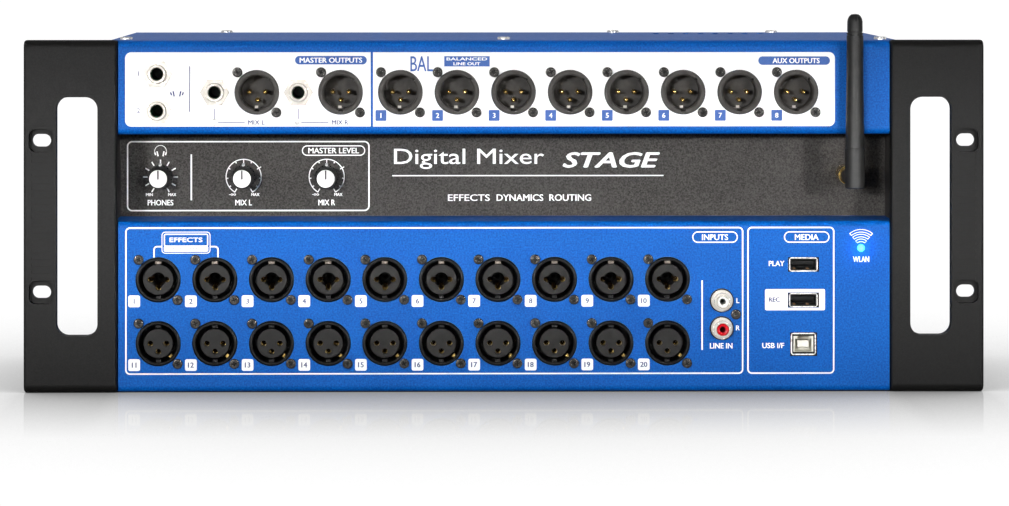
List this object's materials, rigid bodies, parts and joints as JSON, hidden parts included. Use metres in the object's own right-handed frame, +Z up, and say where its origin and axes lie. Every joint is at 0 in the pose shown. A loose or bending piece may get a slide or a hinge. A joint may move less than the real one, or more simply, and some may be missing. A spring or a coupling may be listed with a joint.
{
  "type": "rack-mount digital audio mixer",
  "caption": "Four-unit rack-mount digital stage mixer with microphone and line sockets on its blue front, a recessed row of level knobs, handle-slot ears and a hinged wireless antenna.",
  "frame": {"origin": "centre of the four rack slots, on the rear face of the ears", "axes": "+X to the right seen from the front, +Y to the rear, +Z up"},
  "size_m": [0.4826, 0.2085, 0.1903],
  "materials": {
    "blue_paint": "fine metallic speckle, satin",
    "charcoal_paint": "fine speckle, matt",
    "ear_finish": "black textured coat on a casting",
    "bright_screw": "bright plated",
    "black_screw": "black plated",
    "warm_grey_shell": "satin",
    "black_shell": "glossy black",
    "dark_insert": "satin",
    "gold_contact": "gold plated",
    "nickel": "nickel plated",
    "white_plastic": "glossy",
    "red_plastic": "glossy",
    "port_steel": "bright",
    "cream_plastic": "satin",
    "black_plastic": "satin",
    "lamp_blue": "lit lens",
    "knob_plastic": "satin",
    "knob_cap_plastic": "satin",
    "latch_steel": "plated",
    "latch_black": "satin",
    "antenna_plastic": "matt",
    "board_green": "lacquered",
    "supply_metal": "bare",
    "cable_grey": "satin"
  },
  "bodies": {
    "case": {"chassis_tray": "blue_paint", "top_cover": "blue_paint", "front_panel": "blue_paint", "control_panel": "charcoal_paint", "left_rack_ear": "ear_finish", "right_rack_ear": "ear_finish", "case_screws": "bright_screw", "connector_screws": "black_screw", "board_standoffs": "bright_screw", "output_sockets": "warm_grey_shell", "input_sockets": "black_shell", "combo_inserts": "dark_insert", "mic_inserts": "dark_insert", "connector_contacts": "gold_contact", "jack_sockets": "nickel", "jack_nuts": "nickel", "phono_housing": "black_shell", "phono_sleeves": "nickel", "left_phono_insulator": "white_plastic", "right_phono_insulator": "red_plastic", "usb_shells": "port_steel", "usb_tongues": "black_plastic", "usb_device_insert": "cream_plastic", "wireless_lamp": "lamp_blue", "level_controls": "supply_metal", "antenna_connector": "gold_contact", "circuit_boards": "board_green", "power_supply": "supply_metal", "mains_inlet": "black_plastic", "network_socket": "port_steel", "wiring": "cable_grey"},
    "antenna_foot": {"antenna_foot": "antenna_plastic"},
    "antenna_mast": {"antenna_mast": "antenna_plastic"},
    "power_rocker": {"power_rocker": "black_plastic"},
    "latch_01": {"input_latch_01": "latch_steel"},
    "latch_02": {"input_latch_02": "latch_steel"},
    "latch_03": {"input_latch_03": "latch_steel"},
    "latch_04": {"input_latch_04": "latch_steel"},
    "latch_05": {"input_latch_05": "latch_steel"},
    "latch_06": {"input_latch_06": "latch_steel"},
    "latch_07": {"input_latch_07": "latch_steel"},
    "latch_08": {"input_latch_08": "latch_steel"},
    "latch_09": {"input_latch_09": "latch_steel"},
    "latch_10": {"input_latch_10": "latch_steel"},
    "latch_11": {"input_latch_11": "latch_black"},
    "latch_12": {"input_latch_12": "latch_black"},
    "latch_13": {"input_latch_13": "latch_black"},
    "latch_14": {"input_latch_14": "latch_black"},
    "latch_15": {"input_latch_15": "latch_black"},
    "latch_16": {"input_latch_16": "latch_black"},
    "latch_17": {"input_latch_17": "latch_black"},
    "latch_18": {"input_latch_18": "latch_black"},
    "latch_19": {"input_latch_19": "latch_black"},
    "latch_20": {"input_latch_20": "latch_black"},
    "phones_control": {"phones_knob": "knob_plastic", "phones_knob_cap": "knob_cap_plastic"},
    "mix_left_control": {"mix_left_knob": "knob_plastic", "mix_left_knob_cap": "knob_cap_plastic"},
    "mix_right_control": {"mix_right_knob": "knob_plastic", "mix_right_knob_cap": "knob_cap_plastic"}
  },
  "joints": [
    {"name": "phones_turn", "type": "hinge", "parent": "case", "child": "phones_control", "pos_m": [-0.17555, 0.03, 0.01745], "axis": [0, 1, 0], "range_deg": [-150, 150]},
    {"name": "mix_left_turn", "type": "hinge", "parent": "case", "child": "mix_left_control", "pos_m": [-0.13301, 0.03, 0.01745], "axis": [0, 1, 0], "range_deg": [-150, 150]},
    {"name": "mix_right_turn", "type": "hinge", "parent": "case", "child": "mix_right_control", "pos_m": [-0.09047, 0.03, 0.01745], "axis": [0, 1, 0], "range_deg": [-150, 150]},
    {"name": "antenna_swivel", "type": "hinge", "parent": "case", "child": "antenna_foot", "pos_m": [0.1756, 0, 0.019], "axis": [0, 1, 0], "continuous": true},
    {"name": "antenna_fold", "type": "hinge", "parent": "antenna_foot", "child": "antenna_mast", "pos_m": [0.1756, -0.015, 0.019], "axis": [1, 0, 0], "range_deg": [0, 90]},
    {"name": "power_switch", "type": "hinge", "parent": "case", "child": "power_rocker", "pos_m": [0.163, 0.183, -0.06], "axis": [1, 0, 0], "range_deg": [0, 16]},
    {"name": "latch_01_press", "type": "slide", "parent": "case", "child": "latch_01", "axis": [0, 1, 0], "range_m": [0, 0.0016]},
    {"name": "latch_02_press", "type": "slide", "parent": "case", "child": "latch_02", "axis": [0, 1, 0], "range_m": [0, 0.0016]},
    {"name": "latch_03_press", "type": "slide", "parent": "case", "child": "latch_03", "axis": [0, 1, 0], "range_m": [0, 0.0016]},
    {"name": "latch_04_press", "type": "slide", "parent": "case", "child": "latch_04", "axis": [0, 1, 0], "range_m": [0, 0.0016]},
    {"name": "latch_05_press", "type": "slide", "parent": "case", "child": "latch_05", "axis": [0, 1, 0], "range_m": [0, 0.0016]},
    {"name": "latch_06_press", "type": "slide", "parent": "case", "child": "latch_06", "axis": [0, 1, 0], "range_m": [0, 0.0016]},
    {"name": "latch_07_press", "type": "slide", "parent": "case", "child": "latch_07", "axis": [0, 1, 0], "range_m": [0, 0.0016]},
    {"name": "latch_08_press", "type": "slide", "parent": "case", "child": "latch_08", "axis": [0, 1, 0], "range_m": [0, 0.0016]},
    {"name": "latch_09_press", "type": "slide", "parent": "case", "child": "latch_09", "axis": [0, 1, 0], "range_m": [0, 0.0016]},
    {"name": "latch_10_press", "type": "slide", "parent": "case", "child": "latch_10", "axis": [0, 1, 0], "range_m": [0, 0.0016]},
    {"name": "latch_11_press", "type": "slide", "parent": "case", "child": "latch_11", "axis": [0, 1, 0], "range_m": [0, 0.0016]},
    {"name": "latch_12_press", "type": "slide", "parent": "case", "child": "latch_12", "axis": [0, 1, 0], "range_m": [0, 0.0016]},
    {"name": "latch_13_press", "type": "slide", "parent": "case", "child": "latch_13", "axis": [0, 1, 0], "range_m": [0, 0.0016]},
    {"name": "latch_14_press", "type": "slide", "parent": "case", "child": "latch_14", "axis": [0, 1, 0], "range_m": [0, 0.0016]},
    {"name": "latch_15_press", "type": "slide", "parent": "case", "child": "latch_15", "axis": [0, 1, 0], "range_m": [0, 0.0016]},
    {"name": "latch_16_press", "type": "slide", "parent": "case", "child": "latch_16", "axis": [0, 1, 0], "range_m": [0, 0.0016]},
    {"name": "latch_17_press", "type": "slide", "parent": "case", "child": "latch_17", "axis": [0, 1, 0], "range_m": [0, 0.0016]},
    {"name": "latch_18_press", "type": "slide", "parent": "case", "child": "latch_18", "axis": [0, 1, 0], "range_m": [0, 0.0016]},
    {"name": "latch_19_press", "type": "slide", "parent": "case", "child": "latch_19", "axis": [0, 1, 0], "range_m": [0, 0.0016]},
    {"name": "latch_20_press", "type": "slide", "parent": "case", "child": "latch_20", "axis": [0, 1, 0], "range_m": [0, 0.0016]}
  ]
}
